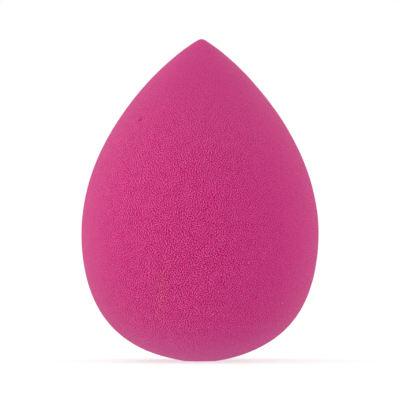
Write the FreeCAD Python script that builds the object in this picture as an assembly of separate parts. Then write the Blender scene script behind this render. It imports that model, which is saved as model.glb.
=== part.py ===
import FreeCAD, Part
import math
import os

# Teardrop makeup sponge, moulded in one piece of soft fine-celled foam.
# Millimetres and degrees. +Z runs up the axis through the tip, and the origin is the middle of the foot.

# Overall sizes
HEIGHT = 60.0  # from the foot to the end of the tip
BODY_DIAMETER = 44.2  # at the widest place
WIDEST_HEIGHT = 24.0  # of the widest place above the foot

# Foot, the small flat that the sponge stands on
FOOT_DIAMETER = 6.0
FOOT_EDGE_SLOPE = 9.0  # of the wall where it leaves the foot, above the horizontal

# Tip, blunt and rounded
TIP_RADIUS = 1.4
TIP_HALF_ANGLE = 59.0  # between the axis and the flank where the flank meets the tip

# How far each stretch of wall keeps the direction that it has at its ends, before it bends.
# Each share is of the radius or height that its stretch covers.
BASE_REACH_SHARE = 0.66  # out from the foot
BELLY_DROP_SHARE = 0.6  # down from the widest place
SHOULDER_RISE_SHARE = 0.47  # up from the widest place
FLANK_REACH_SHARE = 0.39  # down from the tip

# Each stretch of wall is cut into this many bands, which keeps the facets of the solid even and few.
WALL_BANDS = 12

FULL_TURN = 360.0
QUARTER_TURN = 90.0
MM3_PER_CM3 = 1000.0
AXIS = FreeCAD.Vector(0, 0, 1)


def point(radius, height):
    """A point of the profile, which lies in the XZ plane."""
    return FreeCAD.Vector(radius, 0, height)


def soft_curve(start, start_pull, end_pull, end):
    """One smooth stretch of wall, tangent at both ends to its pull points, as a row of bands."""
    bands = []
    for number in range(WALL_BANDS):
        band = Part.BezierCurve()
        band.setPoles([start, start_pull, end_pull, end])
        band.segment(number / WALL_BANDS, (number + 1) / WALL_BANDS)
        bands.append(band.toShape())
    return bands


def lower_wall(foot_edge, widest):
    """The broad round base, from the edge of the foot to the widest place."""
    reach = BASE_REACH_SHARE * (widest.x - foot_edge.x)
    slope = math.radians(FOOT_EDGE_SLOPE)
    base_pull = foot_edge + point(reach, reach * math.tan(slope))
    belly_pull = widest - point(0, BELLY_DROP_SHARE * WIDEST_HEIGHT)
    return soft_curve(foot_edge, base_pull, belly_pull, widest)


def upper_wall(widest, tip_edge):
    """The shoulder and the flank, from the widest place to the edge of the rounded tip."""
    half_angle = math.radians(TIP_HALF_ANGLE)
    reach = FLANK_REACH_SHARE * (widest.x - tip_edge.x)
    shoulder_pull = widest + point(0, SHOULDER_RISE_SHARE * (HEIGHT - WIDEST_HEIGHT))
    flank_pull = tip_edge + point(reach * math.sin(half_angle), -reach * math.cos(half_angle))
    return soft_curve(widest, shoulder_pull, flank_pull, tip_edge)


def tip_point(angle):
    """A point of the rounded tip, at this angle above the horizontal."""
    turn = math.radians(angle)
    return point(TIP_RADIUS * math.cos(turn), HEIGHT - TIP_RADIUS + TIP_RADIUS * math.sin(turn))


def sponge_body():
    """The whole sponge, turned about Z from half of its outline."""
    foot_centre = point(0, 0)
    foot_edge = point(FOOT_DIAMETER / 2, 0)
    widest = point(BODY_DIAMETER / 2, WIDEST_HEIGHT)
    top = point(0, HEIGHT)
    tip_edge = tip_point(TIP_HALF_ANGLE)
    tip_middle = tip_point((TIP_HALF_ANGLE + QUARTER_TURN) / 2)
    outline = [Part.LineSegment(foot_centre, foot_edge).toShape()]
    outline += lower_wall(foot_edge, widest)
    outline += upper_wall(widest, tip_edge)
    outline.append(Part.Arc(tip_edge, tip_middle, top).toShape())
    outline.append(Part.LineSegment(top, foot_centre).toShape())
    return Part.Face(Part.Wire(outline)).revolve(foot_centre, AXIS, FULL_TURN)


def main():
    os.makedirs("parts", exist_ok=True)
    body = sponge_body()
    box = body.BoundBox
    print(f"sponge_body: valid {body.isValid()}, volume {body.Volume / MM3_PER_CM3:.2f} cm3")
    print(f"box {box.XLength:.2f} x {box.YLength:.2f} x {box.ZLength:.2f} mm, foot at {box.ZMin:.3f}")
    print(f"centre of mass {body.CenterOfMass.z:.2f} mm above the foot")
    body.exportStep("parts/sponge_body.step")


main()
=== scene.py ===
import bmesh
import bpy
import math
import numpy as np
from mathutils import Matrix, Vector, noise

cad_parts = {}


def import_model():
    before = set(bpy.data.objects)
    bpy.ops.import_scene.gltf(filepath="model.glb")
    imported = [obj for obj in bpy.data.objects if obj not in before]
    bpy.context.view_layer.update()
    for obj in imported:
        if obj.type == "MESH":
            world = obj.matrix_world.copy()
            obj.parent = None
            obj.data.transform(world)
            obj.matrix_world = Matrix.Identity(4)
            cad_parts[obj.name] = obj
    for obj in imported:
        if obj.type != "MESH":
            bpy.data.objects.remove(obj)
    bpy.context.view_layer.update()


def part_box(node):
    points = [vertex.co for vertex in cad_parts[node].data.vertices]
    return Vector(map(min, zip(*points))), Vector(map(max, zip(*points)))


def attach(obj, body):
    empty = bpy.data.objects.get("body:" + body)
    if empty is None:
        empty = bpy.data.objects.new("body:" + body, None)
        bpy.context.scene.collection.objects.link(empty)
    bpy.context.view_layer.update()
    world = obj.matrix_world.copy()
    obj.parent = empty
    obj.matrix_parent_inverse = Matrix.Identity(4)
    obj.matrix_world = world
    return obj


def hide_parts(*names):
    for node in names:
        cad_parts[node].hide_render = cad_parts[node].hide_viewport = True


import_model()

# Teardrop makeup sponge, one moulding of soft pink foam, standing on its flat foot.
# Metres. MM turns a size in millimetres into metres.
MM = 0.001
LOW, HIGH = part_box("sponge_body")
HEIGHT = HIGH.z - LOW.z
RADIUS = (HIGH.x - LOW.x) / 2

# Outline, as in the solid
WIDEST_HEIGHT = 24.0 * MM
FOOT_RADIUS = 3.0 * MM
FOOT_EDGE_SLOPE = math.radians(9.0)
TIP_RADIUS = 1.4 * MM
TIP_HALF_ANGLE = math.radians(59.0)
BASE_REACH_SHARE = 0.66
BELLY_DROP_SHARE = 0.6
SHOULDER_RISE_SHARE = 0.47
FLANK_REACH_SHARE = 0.39
CURVE_STEPS = 600

# Mesh, the six sides of a cube drawn out to the teardrop
QUADS_PER_SIDE = 128

# Relief of the skin, from broad unevenness down to single cells
TIP_LEAN = 0.28 * MM  # to +X, at the very end of the tip
TIP_LEAN_POWER = 7
WAVE_SIZE = 9.0 * MM
WAVE_DEPTH = 0.05 * MM
LUMP_SIZE = 2.4 * MM
LUMP_DEPTH = 0.015 * MM
CELL_SIZE = 0.8 * MM
CELL_DEPTH = 0.03 * MM
CELL_BOTTOM_SHARE = 0.1  # of a cell's size, from its middle
CELL_BRIM_SHARE = 0.65
FOOT_BLEND = 2.0 * MM  # over which the relief fades out towards the foot

# Marks, as x and height on the side that faces -Y
PINHOLE = (-11.0 * MM, 44.83 * MM)
PINHOLE_SIZE = 0.28 * MM
PINHOLE_DEPTH = 0.15 * MM
PINHOLE_SHADE_SIZE = 0.63 * MM
STREAK = (-6.75 * MM, 13.9 * MM)
STREAK_HALF_WIDTH = 2.0 * MM
STREAK_HALF_HEIGHT = 8.5 * MM
STREAK_HALF_DEPTH = 20.0 * MM  # keeps it off the other side
STREAK_TILT = math.radians(8.0)  # its top leans to +X
LINT_SPECKS = [(8.92 * MM, 18.47 * MM), (2.36 * MM, 9.11 * MM), (15.19 * MM, 10.98 * MM)]
LINT_SIZE = 0.2 * MM

# Foam colours, linear. The pits carry painted shade and the ridges a painted highlight, on top of the
# foam's own pink.
SHADED_PIT_COLOUR = (0.305, 0.0, 0.061)
FOAM_COLOUR = (0.550, 0.0108, 0.1735)
RIDGE_HIGHLIGHT_COLOUR = (0.706, 0.088, 0.297)
FADED_COLOUR = (0.508, 0.0240, 0.183)
LINT_COLOUR = (0.95, 0.19, 0.44)

# Tints, times the skin's own colour. The foam is a little duller near the tip and bluer near the foot.
STREAK_TINT = (0.98, 1.33, 0.90)
TIP_TINT = (0.92, 1.22, 0.935)
TIP_TINT_START = 25.0 * MM  # above the foot
FOOT_TINT = (0.986, 1.02, 1.13)
FOOT_TINT_START = 10.0 * MM

# Surface of the foam
ROUGHNESS = 0.8
SPECULAR_LEVEL = 0.0
SHEEN_WEIGHT = 0.16
SHEEN_ROUGHNESS = 0.5

# Grain of the foam in the material. Each spot is set against the foam beside it, across and along the body.
NOISE_MIDDLE = 0.5  # of Blender's noise, which runs from 0 to 1
GRAIN_SIZE = 0.25 * MM
GRAIN_REACH = 0.18 * MM  # from a spot to the foam that it is set against
ACROSS_SHARE = 0.75
ALONG_SHARE = 0.55  # less than across, as the cells are a little taller than wide
GRAIN_CONTRAST = 2.2
SPECKLE_SIZE = 0.16 * MM
SPECKLE_CONTRAST = 1.4
# The ramp paints shade into the pits and a highlight onto the ridges of the grain.
SHADED_PIT_LEVEL = 0.22
SKIN_LEVEL = 0.5
RIDGE_HIGHLIGHT_LEVEL = 0.8
GRAIN_BUMP = 0.05 * MM

# The grain, with its painted pit shade and ridge highlight, is clearest on the front, left of the middle.
# It fades over an oval and towards the tip.
CLEAR_PLACE = (-5.5 * MM, -20.0 * MM, 23.0 * MM)
CLEAR_HALF_WIDTH = 25.5 * MM
CLEAR_HALF_DEPTH = 80.0 * MM
CLEAR_HALF_HEIGHT = 42.0 * MM
FADE_START_SHARE = 0.1
FADE_END_SHARE = 1.05
FADED_SHARE = 0.74
TIP_FADE_START = 40.0 * MM  # above the foot
TIP_FADED_SHARE = 0.7

# Camera, level with the middle of the sponge
CAMERA_DISTANCE = 1.0
IMAGE_PIXELS = 400
SPONGE_PIXELS = 321.9  # its height in the photograph
SENSOR_WIDTH = 36.0  # millimetres, as Blender takes it

# Light, from even white surroundings and from soft panels in these directions
SURROUNDINGS_COLOUR = (1.0, 1.0, 1.0)
SURROUNDINGS_STRENGTH = 1.0
PANEL_DISTANCE = 1.0
PANEL_SIZE = 0.6
PANEL_WATTS = 2.4
PANELS = {"left": (-0.8, -0.38, 0.12), "right": (0.73, 0.19, 0.41), "top": (-0.53, 0.11, 0.83)}
FLOOR_RADIUS = 1.6
FLOOR_CORNERS = 96
FLOOR_ALBEDO = 0.35
FLOOR_GLOW = 1 - FLOOR_ALBEDO  # shows the floor white under the even surroundings


def profile():
    """Radius and height along the outline, from the middle of the foot to the end of the tip."""
    foot_edge = np.array([FOOT_RADIUS, 0.0])
    widest = np.array([RADIUS, WIDEST_HEIGHT])
    tip_centre = np.array([0.0, HEIGHT - TIP_RADIUS])
    tip_edge = tip_centre + TIP_RADIUS * np.array([math.cos(TIP_HALF_ANGLE), math.sin(TIP_HALF_ANGLE)])
    base_reach = BASE_REACH_SHARE * (RADIUS - FOOT_RADIUS)
    flank_reach = FLANK_REACH_SHARE * (RADIUS - tip_edge[0])
    flank = np.array([math.sin(TIP_HALF_ANGLE), -math.cos(TIP_HALF_ANGLE)])
    lower = bezier(
        foot_edge,
        foot_edge + base_reach * np.array([1.0, math.tan(FOOT_EDGE_SLOPE)]),
        widest - [0.0, BELLY_DROP_SHARE * WIDEST_HEIGHT],
        widest,
    )
    upper = bezier(
        widest,
        widest + [0.0, SHOULDER_RISE_SHARE * (HEIGHT - WIDEST_HEIGHT)],
        tip_edge + flank_reach * flank,
        tip_edge,
    )
    turn = np.linspace(TIP_HALF_ANGLE, math.pi / 2, CURVE_STEPS)
    tip = tip_centre + TIP_RADIUS * np.column_stack([np.cos(turn), np.sin(turn)])
    return np.concatenate([[[0.0, 0.0]], lower, upper[1:], tip[1:]])


def bezier(start, start_pull, end_pull, end):
    t = np.linspace(0.0, 1.0, CURVE_STEPS)[:, None]
    s = 1 - t
    return s**3 * start + 3 * t * s**2 * start_pull + 3 * t**2 * s * end_pull + t**3 * end


def cube_grid():
    """A bmesh cube whose sides are grids, two units across."""
    grid = bmesh.new()
    bmesh.ops.create_cube(grid, size=2.0)
    bmesh.ops.subdivide_edges(grid, edges=grid.edges[:], cuts=QUADS_PER_SIDE - 1, use_grid_fill=True)
    return grid


def teardrop_points(grid):
    """Places and outward directions for the grid's points on the smooth teardrop."""
    cube = np.array([v.co[:] for v in grid.verts])
    ball = np.tan(cube * math.pi / 4)
    ball /= np.linalg.norm(ball, axis=1)[:, None]
    outline = profile()
    steps = np.linalg.norm(np.diff(outline, axis=0), axis=1)
    length = np.concatenate([[0.0], np.cumsum(steps)])
    tangent = np.gradient(outline, axis=0)
    tangent /= np.linalg.norm(tangent, axis=1)[:, None]
    along = np.arccos(np.clip(-ball[:, 2], -1, 1)) / math.pi * length[-1]
    curves = (outline[:, 0], outline[:, 1], tangent[:, 1], -tangent[:, 0])
    radius, height, out_r, out_z = (np.interp(along, length, values) for values in curves)
    flat = np.hypot(ball[:, 0], ball[:, 1])[:, None]
    round_about = np.divide(ball[:, :2], flat, out=np.zeros_like(ball[:, :2]), where=flat > 0)
    places = np.column_stack([round_about * radius[:, None], height])
    directions = np.column_stack([round_about * out_r[:, None], out_z])
    return places, directions


def smooth_step(low, high, value):
    t = np.clip((value - low) / (high - low), 0.0, 1.0)
    return t * t * (3 - 2 * t)


def relief(place):
    """How far the skin stands out at this place, from its unevenness and its cells."""
    p = Vector(place)
    wave = WAVE_DEPTH * noise.noise(p / WAVE_SIZE)
    lump = LUMP_DEPTH * noise.noise(p / LUMP_SIZE)
    distances, _ = noise.voronoi(p / CELL_SIZE)
    pit = 1 - smooth_step(CELL_BOTTOM_SHARE, CELL_BRIM_SHARE, distances[0])
    return wave + lump - CELL_DEPTH * pit


def front_place(mark):
    """The place of a mark, given as x and height, on the smooth side that faces -Y."""
    outline = profile()
    radius = np.interp(mark[1], outline[:, 1], outline[:, 0])
    return np.array([mark[0], -math.sqrt(radius**2 - mark[0] ** 2), mark[1]])


def foam_body():
    """The sponge with its relief, its pinhole and the lean of its tip."""
    grid = cube_grid()
    places, directions = teardrop_points(grid)
    from_foot = np.linalg.norm(places, axis=1)
    amount = smooth_step(FOOT_RADIUS, FOOT_RADIUS + FOOT_BLEND, from_foot)
    heights = np.array([relief(place) for place in places]) * amount
    away = np.linalg.norm(places - front_place(PINHOLE), axis=1)
    heights -= PINHOLE_DEPTH * np.exp(-((away / PINHOLE_SIZE) ** 2))
    moved = places + directions * heights[:, None]
    moved[:, 0] += TIP_LEAN * (places[:, 2] / HEIGHT) ** TIP_LEAN_POWER
    moved[:, 2] = np.maximum(moved[:, 2], 0.0)
    for vertex, place in zip(grid.verts, moved):
        vertex.co = place
    mesh = bpy.data.meshes.new("foam_sponge")
    grid.to_mesh(mesh)
    grid.free()
    mesh.polygons.foreach_set("use_smooth", [True] * len(mesh.polygons))
    body = bpy.data.objects.new("foam_sponge", mesh)
    bpy.context.scene.collection.objects.link(body)
    return body


class Nodes:
    """Short calls for a material's nodes."""

    def __init__(self, name):
        self.material = bpy.data.materials.new(name)
        self.material.use_nodes = True
        self.tree = self.material.node_tree
        self.tree.nodes.clear()

    def add(self, kind, inputs=(), **settings):
        node = self.tree.nodes.new(kind)
        for key, value in settings.items():
            setattr(node, key, value)
        for key, value in dict(inputs).items():
            self.put(node.inputs[key], value)
        return node

    def put(self, socket, value):
        if isinstance(value, bpy.types.NodeSocket):
            self.tree.links.new(value, socket)
        else:
            socket.default_value = value

    def math(self, operation, a, b=0.0):
        node = self.add("ShaderNodeMath", {0: a, 1: b}, operation=operation)
        return node.outputs[0]

    def vector(self, operation, *values):
        node = self.add("ShaderNodeVectorMath", dict(enumerate(values)), operation=operation)
        return node.outputs["Value" if operation in ("LENGTH", "DISTANCE") else "Vector"]

    def noise(self, coords, size):
        """Soft random ups and downs about 0."""
        node = self.add("ShaderNodeTexNoise", {"Vector": coords, "Scale": 1 / size, "Detail": 0.0})
        return self.math("SUBTRACT", node.outputs["Fac"], NOISE_MIDDLE)

    def ramp(self, value, stops):
        node = self.add("ShaderNodeValToRGB", {"Fac": value})
        elements = node.color_ramp.elements
        while len(elements) < len(stops):
            elements.new(1.0)
        for element, (place, rgb) in zip(elements, stops.items()):
            element.position = place
            element.color = colour(rgb)
        return node.outputs["Color"]

    def range(self, value, low, high, to_low=0.0, to_high=1.0):
        inputs = {"Value": value, "From Min": low, "From Max": high, "To Min": to_low, "To Max": to_high}
        return self.add("ShaderNodeMapRange", inputs, interpolation_type="SMOOTHSTEP").outputs["Result"]

    def mix(self, share, a, b, blend="MIX"):
        node = self.add("ShaderNodeMix", data_type="RGBA", blend_type=blend)
        sockets = {socket.identifier: socket for socket in (*node.inputs, *node.outputs)}
        self.put(sockets["Factor_Float"], share)
        self.put(sockets["A_Color"], a)
        self.put(sockets["B_Color"], b)
        return sockets["Result_Color"]

    def oval(self, coords, centre, half_sizes):
        """Distance from the centre of an oval, 1 at its edge."""
        offset = self.vector("SUBTRACT", coords, tuple(centre))
        scaled = self.vector("MULTIPLY", offset, tuple(1 / size for size in half_sizes))
        return self.vector("LENGTH", scaled)

    def near(self, coords, place, size):
        """1 at a place on the object, fading to 0 at this distance from it."""
        return self.range(self.vector("DISTANCE", coords, tuple(place)), size, 0.0)


def colour(rgb):
    return (*rgb, 1.0)


def foam_grain(nodes, coords):
    """The fine cells of the skin, lower in a pit and higher on a ridge."""
    normal = nodes.add("ShaderNodeNewGeometry").outputs["Normal"]
    across = nodes.vector("NORMALIZE", nodes.vector("CROSS_PRODUCT", normal, (0.0, 0.0, 1.0)))
    along = nodes.vector("CROSS_PRODUCT", normal, across)
    grain = nodes.noise(coords, GRAIN_SIZE)
    for way, share in ((across, ACROSS_SHARE), (along, ALONG_SHARE)):
        for reach in (-GRAIN_REACH, GRAIN_REACH):
            beside = nodes.noise(nodes.vector("MULTIPLY_ADD", way, (reach,) * 3, coords), GRAIN_SIZE)
            grain = nodes.math("SUBTRACT", grain, nodes.math("MULTIPLY", beside, share / 2))
    speckle = nodes.math("MULTIPLY", nodes.noise(coords, SPECKLE_SIZE), SPECKLE_CONTRAST)
    grain = nodes.math("ADD", nodes.math("MULTIPLY", grain, GRAIN_CONTRAST), speckle)
    return nodes.math("ADD", grain, SKIN_LEVEL)


def foam_material():
    """Pink foam with its grain, the grain's painted pit shade and ridge highlight, its fading, its tints
    and its marks.
    """
    nodes = Nodes("pink_foam")
    coords = nodes.add("ShaderNodeTexCoord").outputs["Object"]
    grain = foam_grain(nodes, coords)
    # Painted shade in the pits and a painted highlight on the ridges, set by the grain.
    skin = nodes.ramp(grain, {SHADED_PIT_LEVEL: SHADED_PIT_COLOUR, SKIN_LEVEL: FOAM_COLOUR, RIDGE_HIGHLIGHT_LEVEL: RIDGE_HIGHLIGHT_COLOUR})
    reach = nodes.oval(coords, CLEAR_PLACE, (CLEAR_HALF_WIDTH, CLEAR_HALF_DEPTH, CLEAR_HALF_HEIGHT))
    faded = nodes.range(reach, FADE_START_SHARE, FADE_END_SHARE, 0.0, FADED_SHARE)
    skin = nodes.mix(faded, skin, colour(FADED_COLOUR))
    height = nodes.add("ShaderNodeSeparateXYZ", {0: coords}).outputs["Z"]
    smoother = nodes.range(height, TIP_FADE_START, HEIGHT, 0.0, TIP_FADED_SHARE)
    skin = nodes.mix(smoother, skin, colour(FADED_COLOUR))
    for tint, start, end in ((TIP_TINT, TIP_TINT_START, HEIGHT), (FOOT_TINT, FOOT_TINT_START, 0.0)):
        skin = nodes.mix(nodes.range(height, start, end), skin, colour(tint), blend="MULTIPLY")
    skin = marked(nodes, coords, skin)
    bump = nodes.add("ShaderNodeBump", {"Height": grain, "Distance": GRAIN_BUMP})
    shader = nodes.add(
        "ShaderNodeBsdfPrincipled",
        {
            "Base Color": skin,
            "Roughness": ROUGHNESS,
            "Specular IOR Level": SPECULAR_LEVEL,
            "Sheen Weight": SHEEN_WEIGHT,
            "Sheen Roughness": SHEEN_ROUGHNESS,
            "Normal": bump.outputs["Normal"],
        },
    )
    nodes.add("ShaderNodeOutputMaterial", {"Surface": shader.outputs[0]})
    return nodes.material


def marked(nodes, coords, skin):
    """The skin with the faint tan streak, the pinhole with its painted shade and the specks of lint on its
    front.
    """
    centre = tuple(front_place(STREAK))
    upright = nodes.add(
        "ShaderNodeVectorRotate",
        {"Vector": coords, "Center": centre, "Angle": -STREAK_TILT},
        rotation_type="Y_AXIS",
    ).outputs[0]
    reach = nodes.oval(upright, centre, (STREAK_HALF_WIDTH, STREAK_HALF_DEPTH, STREAK_HALF_HEIGHT))
    skin = nodes.mix(nodes.range(reach, 1.0, 0.0), skin, colour(STREAK_TINT), blend="MULTIPLY")
    # Painted shade in and around the pinhole, in the shaded pit colour.
    shade = nodes.near(coords, front_place(PINHOLE), PINHOLE_SHADE_SIZE)
    skin = nodes.mix(shade, skin, colour(SHADED_PIT_COLOUR))
    for mark in LINT_SPECKS:
        lint = nodes.near(coords, front_place(mark), LINT_SIZE)
        skin = nodes.mix(lint, skin, colour(LINT_COLOUR))
    return skin


def camera():
    """Looks at the sponge from -Y and shows it as tall as the photograph does."""
    data = bpy.data.cameras.new("camera")
    view_width = HEIGHT * IMAGE_PIXELS / SPONGE_PIXELS
    data.sensor_width = SENSOR_WIDTH
    data.lens = SENSOR_WIDTH * CAMERA_DISTANCE / view_width
    view = bpy.data.objects.new("camera", data)
    view.location = (0.0, -CAMERA_DISTANCE, HEIGHT / 2)
    view.rotation_euler = (math.pi / 2, 0.0, 0.0)
    bpy.context.scene.collection.objects.link(view)
    bpy.context.scene.camera = view


def seen_directly(nodes):
    """1 for a ray from the camera, or for one that a mirror or clear glass has sent on."""
    path = nodes.add("ShaderNodeLightPath").outputs
    direct = nodes.math("MAXIMUM", path["Is Camera Ray"], path["Is Glossy Ray"])
    return nodes.math("MAXIMUM", direct, path["Is Transmission Ray"])


def world():
    """Even white surroundings."""
    made = bpy.data.worlds.new("studio")
    bpy.context.scene.world = made
    made.use_nodes = True
    backdrop = made.node_tree.nodes["Background"]
    backdrop.inputs["Color"].default_value = colour(SURROUNDINGS_COLOUR)
    backdrop.inputs["Strength"].default_value = SURROUNDINGS_STRENGTH


def panel(name, direction):
    """A soft square light that faces the middle of the sponge."""
    data = bpy.data.lights.new(name, "AREA")
    data.size = PANEL_SIZE
    data.energy = PANEL_WATTS
    light = bpy.data.objects.new(name, data)
    middle = Vector((0, 0, HEIGHT / 2))
    towards = Vector(direction).normalized()
    light.location = middle + PANEL_DISTANCE * towards
    light.rotation_euler = towards.to_track_quat("Z", "Y").to_euler()
    light.visible_camera = False
    bpy.context.scene.collection.objects.link(light)


def floor():
    """A pale floor that keeps the sponge's shadow. Light from under the sponge passes through it."""
    grid = bmesh.new()
    bmesh.ops.create_circle(grid, cap_ends=True, radius=FLOOR_RADIUS, segments=FLOOR_CORNERS)
    mesh = bpy.data.meshes.new("floor")
    grid.to_mesh(mesh)
    grid.free()
    made = bpy.data.objects.new("floor", mesh)
    bpy.context.scene.collection.objects.link(made)
    nodes = Nodes("floor")
    seen = seen_directly(nodes)
    matt = nodes.add("ShaderNodeBsdfDiffuse", {"Color": colour((FLOOR_ALBEDO,) * 3)}).outputs[0]
    fill = nodes.add("ShaderNodeEmission", {"Strength": FLOOR_GLOW}).outputs[0]
    shown = nodes.add("ShaderNodeAddShader", {0: matt, 1: fill}).outputs[0]
    clear = nodes.add("ShaderNodeBsdfTransparent").outputs[0]
    below = nodes.add("ShaderNodeNewGeometry").outputs["Backfacing"]
    seen = nodes.math("MULTIPLY", seen, nodes.math("SUBTRACT", 1.0, below))
    surface = nodes.add("ShaderNodeMixShader", {0: seen, 1: clear, 2: shown})
    nodes.add("ShaderNodeOutputMaterial", {"Surface": surface.outputs[0]})
    mesh.materials.append(nodes.material)


camera()
body = foam_body()
body.data.materials.append(foam_material())
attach(body, "root")
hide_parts("sponge_body")
world()
floor()
for panel_name, panel_direction in PANELS.items():
    panel(panel_name, panel_direction)
bpy.context.scene.view_settings.view_transform = "Standard"
